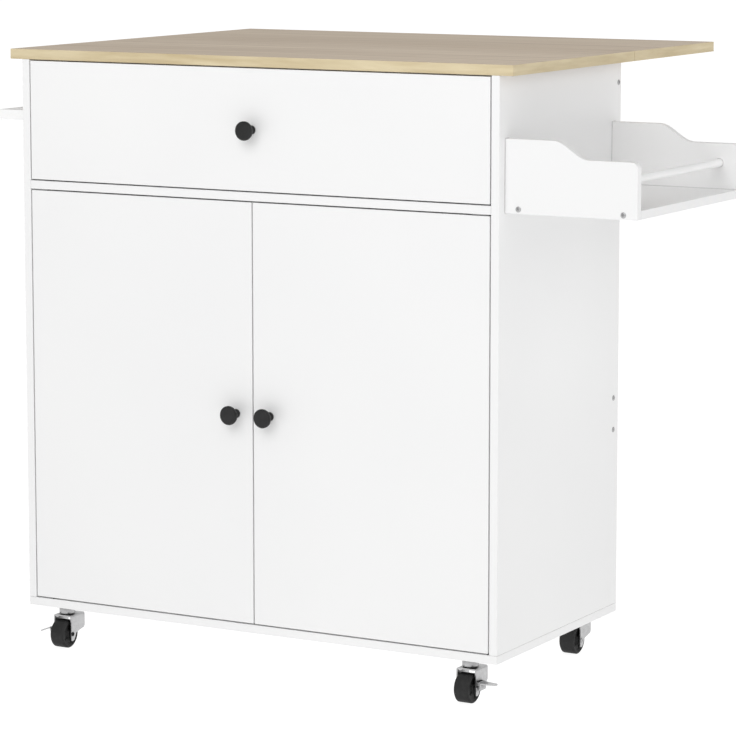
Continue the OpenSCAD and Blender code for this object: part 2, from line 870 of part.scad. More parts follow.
module rack_screws() {
    z = rack_bottom + panel_t / 2;
    placed() color(steel) for (x = rack_screw_x) {
        rod_y([x, rack_front_y, z], screw_d, screw_l);
        rod_y([x, rack_front_y - screw_head_t, z], screw_head_d, screw_head_t);
        rod_y([x, rack_back_y + panel_t - screw_l, z], screw_d, screw_l);
        rod_y([x, rack_back_y + panel_t, z], screw_head_d, screw_head_t);
    }
}

// ---------------------------------------------------------------- towel rail

module towel_arms() {
    placed() color(white) difference() {
        for (y = towel_arm_y) {
            box([towel_x, y, towel_mid_z - towel_t / 2],
                [-body_w / 2, y + towel_t, towel_mid_z + towel_t / 2]);
            rod_y([towel_x, y, towel_mid_z], towel_t, towel_t);
        }
        fixing_holes(-1, towel_fix_at);
    }
}

module towel_rod() {
    placed() color(white)
        rod_y([towel_x, towel_arm_y[0] + towel_t, towel_mid_z], towel_t,
              towel_arm_y[1] - towel_arm_y[0] - towel_t);
}

// ---------------------------------------------------------------- casters

caster_x = body_w / 2 - caster_side;
caster_y = [caster_front, body_d - caster_back];
axle_z = wheel_d / 2;
fork_z = wheel_d + wheel_gap + fork_t;
race_neck_h = 1.5;
race_neck_d = 19;
rivet_d = 8;
rivet_head_t = 2;
rivet_head_w = 2;

// Where a caster stands: side is -1 or 1, row is 0 at the front and 1 at the back
module at_caster(side, row) {
    translate([side * caster_x, caster_y[row], 0]) children();
}

// Flange, swivel race, kingpin and stem
module caster_mounts() {
    placed() color(steel) for (side = [-1, 1], row = [0, 1]) at_caster(side, row) {
        rod_z([0, 0, caster_h - flange_t], flange_d, flange_t);
        rod_z([0, 0, fork_z + fit_gap], race_neck_d, caster_h - fork_z - fit_gap);
        rod_z([0, 0, fork_z + race_neck_h], race_d, caster_h - fork_z - race_neck_h);
        rod_z([0, 0, caster_h - over], stem_d, stem_l + over);
        rod_z([0, 0, fork_z - fork_t - rivet_head_t], rivet_d, fork_t + rivet_head_t + over);
        rod_z([0, 0, fork_z - fork_t - rivet_head_t], rivet_d + 2 * rivet_head_w,
              rivet_head_t - fit_gap);
    }
}

// Sleeves in the bottom panel that hold the stems
module caster_inserts() {
    placed() color(steel) for (side = [-1, 1], row = [0, 1]) at_caster(side, row) difference() {
        rod_z([0, 0, caster_h], insert_d, stem_l);
        rod_z([0, 0, caster_h - over], stem_d + 2 * fit_gap, stem_l + 2 * over);
    }
}

// Side view of a fork: Y to the right, Z up. Its heel is straight and rounded below, its sole
// rises from the neck to the heel, and its toe is a round end around the axle.
heel_h = 18.5;
heel_r = 5;
neck_y = 10;
neck_up = 1;
toe_r = 6.5;
toe_drop = 4.2;
toe_angle = 20;

module fork_side() {
    heel = [fork_back - heel_r, fork_z - heel_h];
    toe = [-caster_trail, axle_z - toe_drop];
    difference() {
        union() {
            polygon([[-fork_front, fork_z], [fork_back, fork_z], [fork_back, heel[1]],
                     heel, [heel[0], heel[1] - heel_r], [-caster_trail + neck_y, axle_z + neck_up],
                     toe + toe_r * [cos(toe_angle), -sin(toe_angle)], toe,
                     [-fork_front, toe[1]]]);
            translate(heel) circle(r = heel_r);
            translate(toe) circle(r = toe_r);
        }
        translate([-caster_trail, axle_z]) circle(d = axle_d + 2 * fit_gap);
    }
}

// Front view of a fork, as an arch with round bends: X to the right, Z up
module arch(half, top, r) {
    translate([-half, 0]) square([2 * half, top - r]);
    translate([r - half, 0]) square([2 * (half - r), top]);
    for (x = [r - half, half - r]) translate([x, top - r]) circle(r = r);
}

// A round tab, bent down at the front edge
tab_x = 9.8;
tab_r = 4.2;
tab_drop = 2;

module fork() {
    color(steel) {
        difference() {
            intersection() {
                translate([0, fork_back, 0]) rotate([90, 0, 0])
                    linear_extrude(fork_front + fork_back)
                    difference() {
                        arch(fork_w / 2, fork_z, fork_bend);
                        arch(fork_w / 2 - fork_t, fork_z - fork_t, fork_bend - fork_t);
                    }
                translate([-fork_w, 0, 0]) rotate([90, 0, 90]) linear_extrude(2 * fork_w)
                    fork_side();
            }
            rod_z([0, 0, fork_z - fork_t - over], rivet_d + 2 * fit_gap, fork_t + 2 * over);
        }
        intersection() {
            rod_y([-tab_x, -fork_front, fork_z - fork_t - tab_drop + tab_r], 2 * tab_r, fork_t);
            box([-fork_w / 2, -fork_front, 0], [0, fork_back, fork_z - fork_t / 2]);
        }
    }
}

module wheel() {
    rim_w = 4;
    hub_in = 1.5;
    boss_w = 4;
    slope = 1;
    shoulder_r = 2.5;
    r = wheel_d / 2;
    half = wheel_w / 2;
    // one half of the section, from the bore to the tread's middle, as [radius, place]
    side = concat(
        [[axle_d / 2 + fit_gap, half], [axle_d / 2 + boss_w, half],
         [axle_d / 2 + boss_w + slope, half - hub_in], [r - rim_w - slope, half - hub_in],
         [r - rim_w, half]],
        [for (a = [90:-30:0]) [r - shoulder_r * (1 - cos(a)), half - shoulder_r * (1 - sin(a))]]
    );
    outline = concat(side, [for (i = [len(side) - 1:-1:0]) [side[i][0], -side[i][1]]]);
    color(black) translate([0, -caster_trail, axle_z]) rotate([0, 90, 0])
        rotate_extrude($fn = 64) polygon(outline);
}

axle_head_t = 1;

module axle() {
    color(steel) {
        rod_x([-fork_w / 2, -caster_trail, axle_z], axle_d, fork_w);
        for (x = [-fork_w / 2 - axle_head_t, fork_w / 2])
            rod_x([x, -caster_trail, axle_z], axle_d + 2 * axle_head_t, axle_head_t);
    }
}

module front_left_fork() { placed() at_caster(-1, 0) brake_fork(-1); }
module front_right_fork() { placed() at_caster(1, 0) brake_fork(1); }
module back_left_fork() { placed() at_caster(-1, 1) fork(); }
module back_right_fork() { placed() at_caster(1, 1) fork(); }
module front_left_wheel() { placed() at_caster(-1, 0) wheel(); }
module front_right_wheel() { placed() at_caster(1, 0) wheel(); }
module back_left_wheel() { placed() at_caster(-1, 1) wheel(); }
module back_right_wheel() { placed() at_caster(1, 1) wheel(); }
module front_left_axle() { placed() at_caster(-1, 0) axle(); }
module front_right_axle() { placed() at_caster(1, 0) axle(); }
module back_left_axle() { placed() at_caster(-1, 1) axle(); }
module back_right_axle() { placed() at_caster(1, 1) axle(); }

// A brake pedal rocks about a pin along Y, in two lugs on the outer side of a front fork
pedal_t = 2;
pedal_up = 7.5;
pedal_z = axle_z + pedal_up;
sleeve_d = 5;
sleeve_l = 14;
sleeve_gap = 0.3;
sleeve_x = fork_w / 2 + sleeve_gap + sleeve_d / 2;
lug_t = 2;
sleeve_y = -fork_front + lug_t + fit_gap;
brake_pin_d = 2.4;

// The lugs and the pin, on the +X side
module brake_lugs() {
    for (y = [sleeve_y - lug_t - fit_gap, sleeve_y + sleeve_l + fit_gap]) {
        box([fork_w / 2 - fork_t / 2, y, pedal_z - sleeve_d / 2],
            [sleeve_x, y + lug_t, pedal_z + sleeve_d / 2]);
        rod_y([sleeve_x, y, pedal_z], sleeve_d, lug_t);
    }
    rod_y([sleeve_x, sleeve_y - lug_t - fit_gap, pedal_z], brake_pin_d,
          sleeve_l + 2 * lug_t + 2 * fit_gap);
}

module brake_fork(side) {
    fork();
    color(steel) mirror([side < 0 ? 1 : 0, 0, 0]) brake_lugs();
}

// Seen from above, a pedal widens past its lugs and narrows to a round tip
pedal_root_w = 17;
pedal_tip_r = 4.5;
skirt_h = 8.5;

module pedal_plate() {
    root_x = sleeve_x + sleeve_d / 2 + 2 * sleeve_gap;
    tip_x = fork_w / 2 + pedal_l - pedal_tip_r;
    mid_y = sleeve_y + sleeve_l / 2 - lug_t;
    root_y = [mid_y - pedal_root_w / 2, mid_y + pedal_root_w / 2];
    translate([0, 0, pedal_z]) linear_extrude(pedal_t) {
        polygon([[sleeve_x, sleeve_y], [root_x + over, sleeve_y],
                 [root_x + over, sleeve_y + sleeve_l], [sleeve_x, sleeve_y + sleeve_l]]);
        polygon([[root_x, root_y[0]], [tip_x, mid_y - pedal_tip_r],
                 [tip_x, mid_y + pedal_tip_r], [root_x, root_y[1]]]);
        translate([tip_x, mid_y]) circle(r = pedal_tip_r);
    }
    // skirt that hangs beside the fork
    box([root_x, root_y[0], pedal_z - skirt_h], [root_x + pedal_t, root_y[1], pedal_z + over]);
}

// press is the angle from the free place, with the tip going down
module brake_pedal(side, press) {
    color(steel) mirror([side < 0 ? 1 : 0, 0, 0])
        translate([sleeve_x, 0, pedal_z]) rotate([0, press, 0]) translate([-sleeve_x, 0, -pedal_z])
            difference() {
                union() {
                    rod_y([sleeve_x, sleeve_y, pedal_z], sleeve_d, sleeve_l);
                    pedal_plate();
                }
                rod_y([sleeve_x, sleeve_y - over, pedal_z], brake_pin_d + 2 * fit_gap,
                      sleeve_l + 2 * over);
            }
}

// The left brake is on and the right one is off
module left_brake_pedal() { placed() at_caster(-1, 0) brake_pedal(-1, pedal_press); }
module right_brake_pedal() { placed() at_caster(1, 0) brake_pedal(1, 0); }

bottom_panel();
left_side_panel();
right_side_panel();
divider_panel();
back_panel();
top_back_rail();
middle_back_rail();
front_stretcher();
shelf();
shelf_pins();
worktop();
drop_leaf();
worktop_hinge_straps();
leaf_hinge_straps();
leaf_hinge_pins();
drawer_front();
drawer_left_side();
drawer_right_side();
drawer_back();
drawer_bottom();
drawer_knob();
cabinet_runners();
middle_runners();
drawer_runners();
left_door();
right_door();
left_door_knob();
right_door_knob();
left_strike_plate();
right_strike_plate();
magnetic_catch();
door_pivot_plates();
pivot_screws();
rack_front_board();
rack_back_board();
rack_floor();
rack_rod();
rack_screws();
towel_rod();
towel_arms();
carcass_screws();
bracket_screws();
worktop_strap_screws();
leaf_strap_screws();
caster_mounts();
caster_inserts();
front_left_fork();
front_right_fork();
back_left_fork();
back_right_fork();
front_left_wheel();
front_right_wheel();
back_left_wheel();
back_right_wheel();
front_left_axle();
front_right_axle();
back_left_axle();
back_right_axle();
left_brake_pedal();
right_brake_pedal();
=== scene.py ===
"""The looks of a rolling kitchen island with a drop leaf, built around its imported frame.

Metres, in the frame's own axes: X to the right, Y to the back, Z up, the floor at Z = 0.
"""

import json
import math

import bmesh
import bpy
from mathutils import Matrix, Vector

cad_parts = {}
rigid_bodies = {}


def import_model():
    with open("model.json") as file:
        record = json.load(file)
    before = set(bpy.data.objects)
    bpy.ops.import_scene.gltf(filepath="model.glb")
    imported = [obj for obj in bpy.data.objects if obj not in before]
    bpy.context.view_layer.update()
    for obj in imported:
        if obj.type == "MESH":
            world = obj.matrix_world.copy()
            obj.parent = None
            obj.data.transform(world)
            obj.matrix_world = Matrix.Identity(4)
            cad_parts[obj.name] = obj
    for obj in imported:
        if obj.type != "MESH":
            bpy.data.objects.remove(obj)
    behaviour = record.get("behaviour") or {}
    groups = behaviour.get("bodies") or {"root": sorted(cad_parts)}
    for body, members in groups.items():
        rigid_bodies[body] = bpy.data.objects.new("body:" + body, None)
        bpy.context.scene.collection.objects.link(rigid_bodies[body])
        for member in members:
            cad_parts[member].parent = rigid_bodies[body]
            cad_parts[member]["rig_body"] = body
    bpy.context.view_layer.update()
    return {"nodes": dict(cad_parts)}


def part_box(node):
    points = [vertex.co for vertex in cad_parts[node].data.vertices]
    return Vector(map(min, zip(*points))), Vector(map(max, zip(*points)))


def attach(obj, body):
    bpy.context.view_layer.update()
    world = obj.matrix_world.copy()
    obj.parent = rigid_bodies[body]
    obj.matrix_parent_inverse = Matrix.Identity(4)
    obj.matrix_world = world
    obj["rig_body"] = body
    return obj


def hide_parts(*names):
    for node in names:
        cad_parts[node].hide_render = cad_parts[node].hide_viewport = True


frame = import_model()
NODES = frame["nodes"]
MM = 0.001
TINY = 1e-6


# ------------------------------------------------------------------ camera, floor and light

PICTURE_PX = 736
SENSOR_MM = 36.0
FOCAL_PX = 3321.4
CAMERA_AT = (2.4109, -4.4086, 1.1858)
CAMERA_YAW = math.radians(29.157)
CAMERA_PITCH = math.radians(7.671)
CAMERA_SHIFT = (-0.0124, -0.08)

SURROUND_STRENGTH = 0.50
LIT_POINT = (0, 0, 0.45)
# The name, place, size and power of each light
LIGHTS = (("Key", (0.6, -3.6, 2.6), 2.6, 55),
          ("Side", (3.4, -0.4, 2.4), 2.2, 22))
FLOOR_REACH = 30
BACKDROP_H = 40
BACKDROP_SIDES = 48


def add_camera():
    """A camera that looks left and a little down, with a small lens shift."""
    data = bpy.data.cameras.new("Camera")
    data.sensor_width = SENSOR_MM
    data.lens = FOCAL_PX * SENSOR_MM / PICTURE_PX
    data.shift_x, data.shift_y = CAMERA_SHIFT
    camera = bpy.data.objects.new("Camera", data)
    camera.location = CAMERA_AT
    camera.rotation_euler = (math.pi / 2 - CAMERA_PITCH, 0, CAMERA_YAW)
    bpy.context.scene.collection.objects.link(camera)
    bpy.context.scene.camera = camera


def add_light(name, at, size, power):
    """A square area light that looks at the middle of the island."""
    data = bpy.data.lights.new(name, "AREA")
    data.size = size
    data.energy = power
    light = bpy.data.objects.new(name, data)
    light.location = at
    aim = Vector(LIT_POINT) - Vector(at)
    light.rotation_euler = aim.to_track_quat("-Z", "Y").to_euler()
    bpy.context.scene.collection.objects.link(light)


def stage_piece(name, points, faces, material):
    """A piece of the studio, which isn't part of the island."""
    mesh = bpy.data.meshes.new(name)
    mesh.from_pydata(points, [], faces)
    mesh.materials.append(material)
    piece = bpy.data.objects.new(name, mesh)
    bpy.context.scene.collection.objects.link(piece)
    return piece


def add_backdrop():
    """A white ring behind the floor's edge. It is only seen, and gives no light."""
    turns = [2 * math.pi * i / BACKDROP_SIDES for i in range(BACKDROP_SIDES)]
    foot = [(FLOOR_REACH * math.cos(a), FLOOR_REACH * math.sin(a), 0) for a in turns]
    top = [(x, y, BACKDROP_H) for x, y, _ in foot]
    following = list(range(1, BACKDROP_SIDES)) + [0]
    faces = [(i, j, j + BACKDROP_SIDES, i + BACKDROP_SIDES) for i, j in enumerate(following)]
    backdrop = stage_piece("backdrop", foot + top, faces, backdrop_paper())
    backdrop.visible_diffuse = False
    backdrop.visible_glossy = False
    backdrop.visible_transmission = False
    backdrop.visible_shadow = False


def add_studio():
    """A bright even surround, soft lights, a pale floor and a white backdrop."""
    bpy.context.scene.view_settings.view_transform = "Standard"
    world = bpy.data.worlds.new("Studio")
    world.use_nodes = True
    background = world.node_tree.nodes["Background"]
    background.inputs["Color"].default_value = (1, 1, 1, 1)
    background.inputs["Strength"].default_value = SURROUND_STRENGTH
    bpy.context.scene.world = world
    for name, at, size, power in LIGHTS:
        add_light(name, at, size, power)
    corners = [(x * FLOOR_REACH, y * FLOOR_REACH, 0)
               for x, y in ((-1, -1), (1, -1), (1, 1), (-1, 1))]
    stage_piece("floor", corners, [(0, 1, 2, 3)], floor_paper())
    add_backdrop()


# ------------------------------------------------------------------ materials


# Most values of a noise lie in this span
MOST = (0.3, 0.7)
# The painted shade is at its darkest below the first share of open surroundings, and absent above
# the second
SHADE_SPAN = (0.35, 0.90)
SHADE_SAMPLES = 8


class Look:
    """A node-based material in the making."""

    def __init__(self, name, color, roughness, metallic=0.0):
        self.material = bpy.data.materials.new(name)
        self.material.use_nodes = True
        self.nodes = self.material.node_tree.nodes
        self.links = self.material.node_tree.links
        self.shader = self.nodes["Principled BSDF"]
        self.shader.inputs["Base Color"].default_value = (*color, 1)
        self.shader.inputs["Roughness"].default_value = roughness
        self.shader.inputs["Metallic"].default_value = metallic
        self.place = self.nodes.new("ShaderNodeTexCoord")

    def set(self, **values):
        """Constants go straight onto the shader's sockets."""
        for name, value in values.items():
            self.shader.inputs[name.replace("_", " ")].default_value = value
        return self

    def wire(self, source, target):
        self.links.new(source, target)

    def stretched(self, stretch, shift=(0, 0, 0)):
        """Object coordinates, stretched along some axes."""
        mapping = self.nodes.new("ShaderNodeMapping")
        mapping.inputs["Scale"].default_value = stretch
        mapping.inputs["Location"].default_value = shift
        self.wire(self.place.outputs["Object"], mapping.inputs["Vector"])
        return mapping.outputs["Vector"]

    def noise(self, scale, detail=3.0, rough=0.55, stretch=(1, 1, 1), warp=0.0):
        node = self.nodes.new("ShaderNodeTexNoise")
        node.inputs["Scale"].default_value = scale
        node.inputs["Detail"].default_value = detail
        node.inputs["Roughness"].default_value = rough
        node.inputs["Distortion"].default_value = warp
        self.wire(self.stretched(stretch), node.inputs["Vector"])
        return node.outputs["Fac"]

    def ramp(self, source, low, high, to_low=0.0, to_high=1.0):
        """A value between low and high, spread to another span and held at its ends."""
        node = self.nodes.new("ShaderNodeMapRange")
        node.inputs["From Min"].default_value = low
        node.inputs["From Max"].default_value = high
        node.inputs["To Min"].default_value = to_low
        node.inputs["To Max"].default_value = to_high
        self.wire(source, node.inputs["Value"])
        return node.outputs["Result"]

    def math(self, operation, a, b):
        node = self.nodes.new("ShaderNodeMath")
        node.operation = operation
        for socket, value in zip(node.inputs, (a, b)):
            if isinstance(value, (int, float)):
                socket.default_value = value
            else:
                self.wire(value, socket)
        return node.outputs["Value"]

    def mix(self, fac, a, b):
        """A colour between a and b, each a colour or a socket, by the value of a socket."""
        node = self.nodes.new("ShaderNodeMix")
        node.data_type = "RGBA"
        self.wire(fac, node.inputs["Factor"])
        for name, value in (("A", a), ("B", b)):
            socket = [s for s in node.inputs if s.name == name and s.type == "RGBA"][0]
            if isinstance(value, tuple):
                socket.default_value = (*value, 1)
            else:
                self.wire(value, socket)
        return [s for s in node.outputs if s.type == "RGBA"][0]

    def facing(self, axis):
        """How far the surface faces along X, Y or Z of the piece, from 0 to 1."""
        split = self.nodes.new("ShaderNodeSeparateXYZ")
        self.wire(self.place.outputs["Normal"], split.inputs["Vector"])
        return self.math("ABSOLUTE", split.outputs[axis], 0.0)

    def painted_corner_shade(self, reach, tone, painted_shade_color):
        """The tone, with painted shade that darkens it within a small reach of inner corners and
        joints, where shade falls.
        """
        # painted shade: ambient occlusion darkens the tone near other surfaces
        node = self.nodes.new("ShaderNodeAmbientOcclusion")
        node.inputs["Distance"].default_value = reach
        node.samples = SHADE_SAMPLES
        return self.mix(self.ramp(node.outputs["AO"], *SHADE_SPAN), painted_shade_color, tone)

    def color(self, source):
        self.wire(source, self.shader.inputs["Base Color"])

    def roughness(self, source):
        self.wire(source, self.shader.inputs["Roughness"])

    def bump(self, height, strength, depth):
        node = self.nodes.new("ShaderNodeBump")
        node.inputs["Strength"].default_value = strength
        node.inputs["Distance"].default_value = depth
        self.wire(height, node.inputs["Height"])
        self.wire(node.outputs["Normal"], self.shader.inputs["Normal"])


def floor_paper():
    """White paper, lit through like a light table, with a barely visible mottle."""
    look = Look("floor_paper", (0.2, 0.2, 0.2), 0.9)
    mottle = look.ramp(look.noise(1.5), *MOST)
    look.color(look.mix(mottle, (0.19, 0.19, 0.19), (0.21, 0.21, 0.21)))
    look.set(Emission_Color=(1, 1, 1, 1), Emission_Strength=0.92)
    return look.material


def backdrop_paper():
    """White paper that shines evenly, with a barely visible mottle."""
    look = Look("backdrop_paper", (0.02, 0.02, 0.02), 0.9)
    mottle = look.ramp(look.noise(1.5), *MOST)
    look.color(look.mix(mottle, (0.02, 0.02, 0.02), (0.04, 0.04, 0.04)))
    look.set(Emission_Color=(1, 1, 1, 1), Emission_Strength=1.0)
    return look.material


def white_board():
    """White melamine-coated board: a fine pebble, slight tone drift, satin edges, and painted
    shade in its inner corners and joints.
    """
    look = Look("white_board", (0.86, 0.86, 0.86), 0.42)
    pebble = look.noise(900, detail=2)
    drift = look.noise(2.2, detail=2)
    tone = look.mix(look.ramp(drift, *MOST), (0.845, 0.845, 0.846), (0.872, 0.872, 0.870))
    speck = look.ramp(look.noise(2400, detail=1), 0.70, 0.78)
    specked = look.mix(look.math("MULTIPLY", speck, 0.25), tone, (0.74, 0.74, 0.735))
    # painted shade: the tone darkens towards 0.30 grey in inner corners and joints
    look.color(look.painted_corner_shade(1.2 * MM, specked, (0.30, 0.30, 0.295)))
    look.roughness(look.ramp(look.noise(14, detail=4), *MOST, 0.38, 0.47))
    look.bump(pebble, 0.22, 0.12 * MM)
    return look.material


def white_rod():
    """White lacquer on turned wood: smoother than the boards, with a faint lengthwise grain."""
    look = Look("white_lacquer", (0.90, 0.90, 0.90), 0.33)
    grain = look.noise(260, detail=4, stretch=(1, 0.05, 1))
    look.color(look.mix(look.ramp(grain, 0.35, 0.65), (0.895, 0.895, 0.89), (0.92, 0.92, 0.92)))
    look.roughness(look.ramp(grain, *MOST, 0.29, 0.38))
    look.bump(grain, 0.18, 0.12 * MM)
    return look.material


def hardboard():
    """Thin white-lacquered hardboard with a slight orange peel."""
    look = Look("hardboard", (0.84, 0.84, 0.83), 0.5)
    peel = look.noise(420, detail=3)
    drift = look.ramp(look.noise(5, detail=3), *MOST)
    look.color(look.mix(drift, (0.81, 0.81, 0.80), (0.85, 0.85, 0.84)))
    look.roughness(look.ramp(peel, *MOST, 0.45, 0.56))
    look.bump(peel, 0.35, 0.2 * MM)
    return look.material


OAK_DARK = (0.487, 0.378, 0.265)
OAK_MID = (0.680, 0.550, 0.408)
OAK_PALE = (0.797, 0.664, 0.510)
OAK_PORE = (0.385, 0.287, 0.19)
BAND_DARK = (0.550, 0.445, 0.262)
BAND_PALE = (0.700, 0.600, 0.395)


def oak_board():
    """Light oak decor with its grain along X, and a yellower edge band."""
    look = Look("oak_board", OAK_MID, 0.45)
    planks = look.noise(5.5, detail=2, stretch=(0.16, 1, 1), warp=0.4)
    rings = look.nodes.new("ShaderNodeTexWave")
    rings.bands_direction = "Y"
    rings.inputs["Scale"].default_value = 9
    rings.inputs["Distortion"].default_value = 9
    rings.inputs["Detail"].default_value = 3
    rings.inputs["Detail Scale"].default_value = 1.2
    look.wire(look.stretched((0.12, 1, 1), (0.3, 0.1, 0)), rings.inputs["Vector"])
    fibre = look.noise(240, detail=5, rough=0.7, stretch=(0.018, 1, 1))
    pores = look.ramp(look.noise(420, detail=2, stretch=(0.03, 1, 1)), 0.64, 0.74)
    wide = look.mix(look.ramp(planks, 0.32, 0.68), OAK_MID, OAK_PALE)
    ringed = look.mix(look.ramp(rings.outputs["Fac"], 0.55, 1.0, 0.0, 0.38), wide, OAK_DARK)
    fibred = look.mix(look.ramp(fibre, 0.42, 0.72, 0.0, 0.40), ringed, OAK_DARK)
    face = look.mix(look.math("MULTIPLY", pores, 0.55), fibred, OAK_PORE)
    streak = look.noise(70, detail=4, stretch=(0.10, 0.10, 1))
    band = look.mix(look.ramp(streak, 0.35, 0.65), BAND_DARK, BAND_PALE)
    on_face = look.ramp(look.facing("Z"), 0.70, 0.72)
    look.color(look.mix(on_face, band, face))
    look.roughness(look.ramp(fibre, *MOST, 0.40, 0.52))
    look.bump(look.math("SUBTRACT", fibre, pores), 0.28, 0.18 * MM)
    return look.material


def black_paint():
    """Satin black paint on a metal knob, with a faint cloudy haze."""
    look = Look("black_paint", (0.014, 0.014, 0.014), 0.38).set(Specular_IOR_Level=0.3)
    grain = look.noise(1600, detail=3)
    haze = look.ramp(look.noise(90, detail=4), 0.35, 0.7)
    look.color(look.mix(haze, (0.012, 0.012, 0.012), (0.019, 0.019, 0.020)))
    look.roughness(look.ramp(grain, *MOST, 0.32, 0.46))
    look.bump(grain, 0.25, 0.08 * MM)
    return look.material


def plated_steel(name, color, roughness, brush=(1, 1, 1)):
    """Plated sheet steel with rolling marks and a cloudy tone, and painted shade that darkens its
    inner corners.
    """
    look = Look(name, color, roughness, metallic=1.0)
    marks = look.noise(900, detail=3, stretch=brush)
    cloud = look.ramp(look.noise(120, detail=3), *MOST)
    dull, painted_shade_color = [tuple(share * part for part in color) for share in (0.86, 0.12)]
    # painted shade: the steel turns nearly black within 12 mm of other surfaces, such as inside
    # the forks
    look.color(look.painted_corner_shade(12 * MM, look.mix(cloud, dull, color), painted_shade_color))
    look.roughness(look.ramp(marks, 0.25, 0.75, roughness - 0.08, roughness + 0.10))
    look.bump(marks, 0.20, 0.05 * MM)
    return look.material


def dark_tread():
    """Matte dark grey plastic of the wheels, slightly scuffed, with painted shade where the fork
    and other parts come close.
    """
    look = Look("dark_tread", (0.018, 0.018, 0.018), 0.55).set(Specular_IOR_Level=0.3)
    mould = look.noise(1100, detail=3)
    scuff = look.ramp(look.noise(160, detail=5, rough=0.7), 0.52, 0.70)
    tone = look.mix(look.math("MULTIPLY", scuff, 0.4), (0.016, 0.016, 0.016),
                    (0.040, 0.040, 0.040))
    # painted shade: within 25 mm of other surfaces the tread goes nearly black, such as its top
    # under the fork
    look.color(look.painted_corner_shade(25 * MM, tone, (0.002, 0.002, 0.002)))
    look.roughness(look.ramp(mould, *MOST, 0.48, 0.64))
    look.bump(mould, 0.35, 0.1 * MM)
    return look.material


def pale_plastic():
    """Moulded white plastic of the magnetic catch."""
    look = Look("pale_plastic", (0.80, 0.80, 0.79), 0.4)
    texture = look.noise(1800, detail=2)
    look.color(look.mix(look.ramp(look.noise(40), *MOST), (0.78, 0.78, 0.77),
                        (0.82, 0.82, 0.81)))
    look.roughness(look.ramp(texture, *MOST, 0.36, 0.48))
    look.bump(texture, 0.3, 0.08 * MM)
    return look.material


LOOKS = {
    "white_board": white_board(),
    "white_rod": white_rod(),
    "hardboard": hardboard(),
    "oak_board": oak_board(),
    "black_metal": black_paint(),
    "zinc_steel": plated_steel("zinc_steel", (0.52, 0.52, 0.525), 0.30),
    "runner_steel": plated_steel("runner_steel", (0.56, 0.57, 0.58), 0.34, brush=(1, 0.03, 1)),
    "black_tread": dark_tread(),
    "white_plastic": pale_plastic(),
}


# ------------------------------------------------------------------ shapes


SMOOTH_ANGLE = math.radians(35)


def finish_piece(name, bm, look, body, replaced=()):
    """Turns a bmesh into a piece that rides on a body."""
    bmesh.ops.recalc_face_normals(bm, faces=bm.faces)
    mesh = bpy.data.meshes.new(name)
    bm.to_mesh(mesh)
    bm.free()
    mesh.materials.append(LOOKS[look])
    for face in mesh.polygons:
        face.use_smooth = True
    mesh.set_sharp_from_angle(angle=SMOOTH_ANGLE)
    piece = bpy.data.objects.new(name, mesh)
    bpy.context.scene.collection.objects.link(piece)
    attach(piece, body)
    if replaced:
        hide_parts(*replaced)


def add(bm, other, matrix):
    """Joins another bmesh to this one, moved by a matrix."""
    other.transform(matrix)
    mesh = bpy.data.meshes.new("joined")
    other.to_mesh(mesh)
    other.free()
    bm.from_mesh(mesh)
    bpy.data.meshes.remove(mesh)


def ring(bm, radius, height, segments):
    """A ring of vertices about Z."""
    angles = [2 * math.pi * i / segments for i in range(segments)]
    return [bm.verts.new((radius * math.cos(a), radius * math.sin(a), height)) for a in angles]


def lathe(profile, segments):
    """A solid of revolution about Z from points of [radius, height], both ends on the axis."""
    bm = bmesh.new()
    rings = [ring(bm, radius, height, segments) if radius > TINY
             else [bm.verts.new((0, 0, height))] for radius, height in profile]
    for low, high in zip(rings, rings[1:]):
        for i in range(segments):
            corners = [low[i % len(low)], low[(i + 1) % len(low)],
                       high[(i + 1) % len(high)], high[i % len(high)]]
            unique = list(dict.fromkeys(corners))
            if len(unique) > 2:
                bm.faces.new(unique)
    return bm


def ring_lathe(profile, segments):
    """A solid of revolution about Z from a closed outline of [radius, height] off the axis."""
    bm = bmesh.new()
    rings = [ring(bm, radius, height, segments) for radius, height in profile]
    for low, high in zip(rings, rings[1:] + rings[:1]):
        for i in range(segments):
            j = (i + 1) % segments
            bm.faces.new([low[i], low[j], high[j], high[i]])
    return bm


# The largest share of a side that the arc at one of its ends may take
SIDE_SHARE = 0.49


def rounded(points, radii, steps, closed=False):
    """A polyline whose corners are replaced by arcs, with a radius for each corner."""
    count = len(points)
    made = []
    for i, (point, radius) in enumerate(zip(points, radii)):
        here = Vector(point)
        if radius <= 0 or (not closed and i in (0, count - 1)):
            made.append(tuple(here))
            continue
        before = Vector(points[i - 1]) - here
        after = Vector(points[(i + 1) % count]) - here
        half = before.angle(after) / 2
        reach = min(radius / math.tan(half), before.length * SIDE_SHARE,
                    after.length * SIDE_SHARE)
        start, end = here + before.normalized() * reach, here + after.normalized() * reach
        for k in range(steps + 1):
            t = k / steps
            made.append(tuple((1 - t) ** 2 * start + 2 * t * (1 - t) * here + t * t * end))
    return made


def block(low, high, edge, steps=2):
    """A box between two corners with rounded edges."""
    bm = bmesh.new()
    size = Vector(high) - Vector(low)
    middle = (Vector(high) + Vector(low)) / 2
    place = Matrix.Translation(middle) @ Matrix.Diagonal((*size, 1))
    bmesh.ops.create_cube(bm, size=1.0, matrix=place)
    bmesh.ops.bevel(bm, geom=bm.edges[:], offset=edge, segments=steps, profile=0.5,
                    affect="EDGES")
    return bm


def axes(x, y, z, at=(0, 0, 0)):
    """The matrix that sends X, Y and Z to three directions, and the origin to a point."""
    return Matrix.Translation(at) @ Matrix((x, y, z)).transposed().to_4x4()


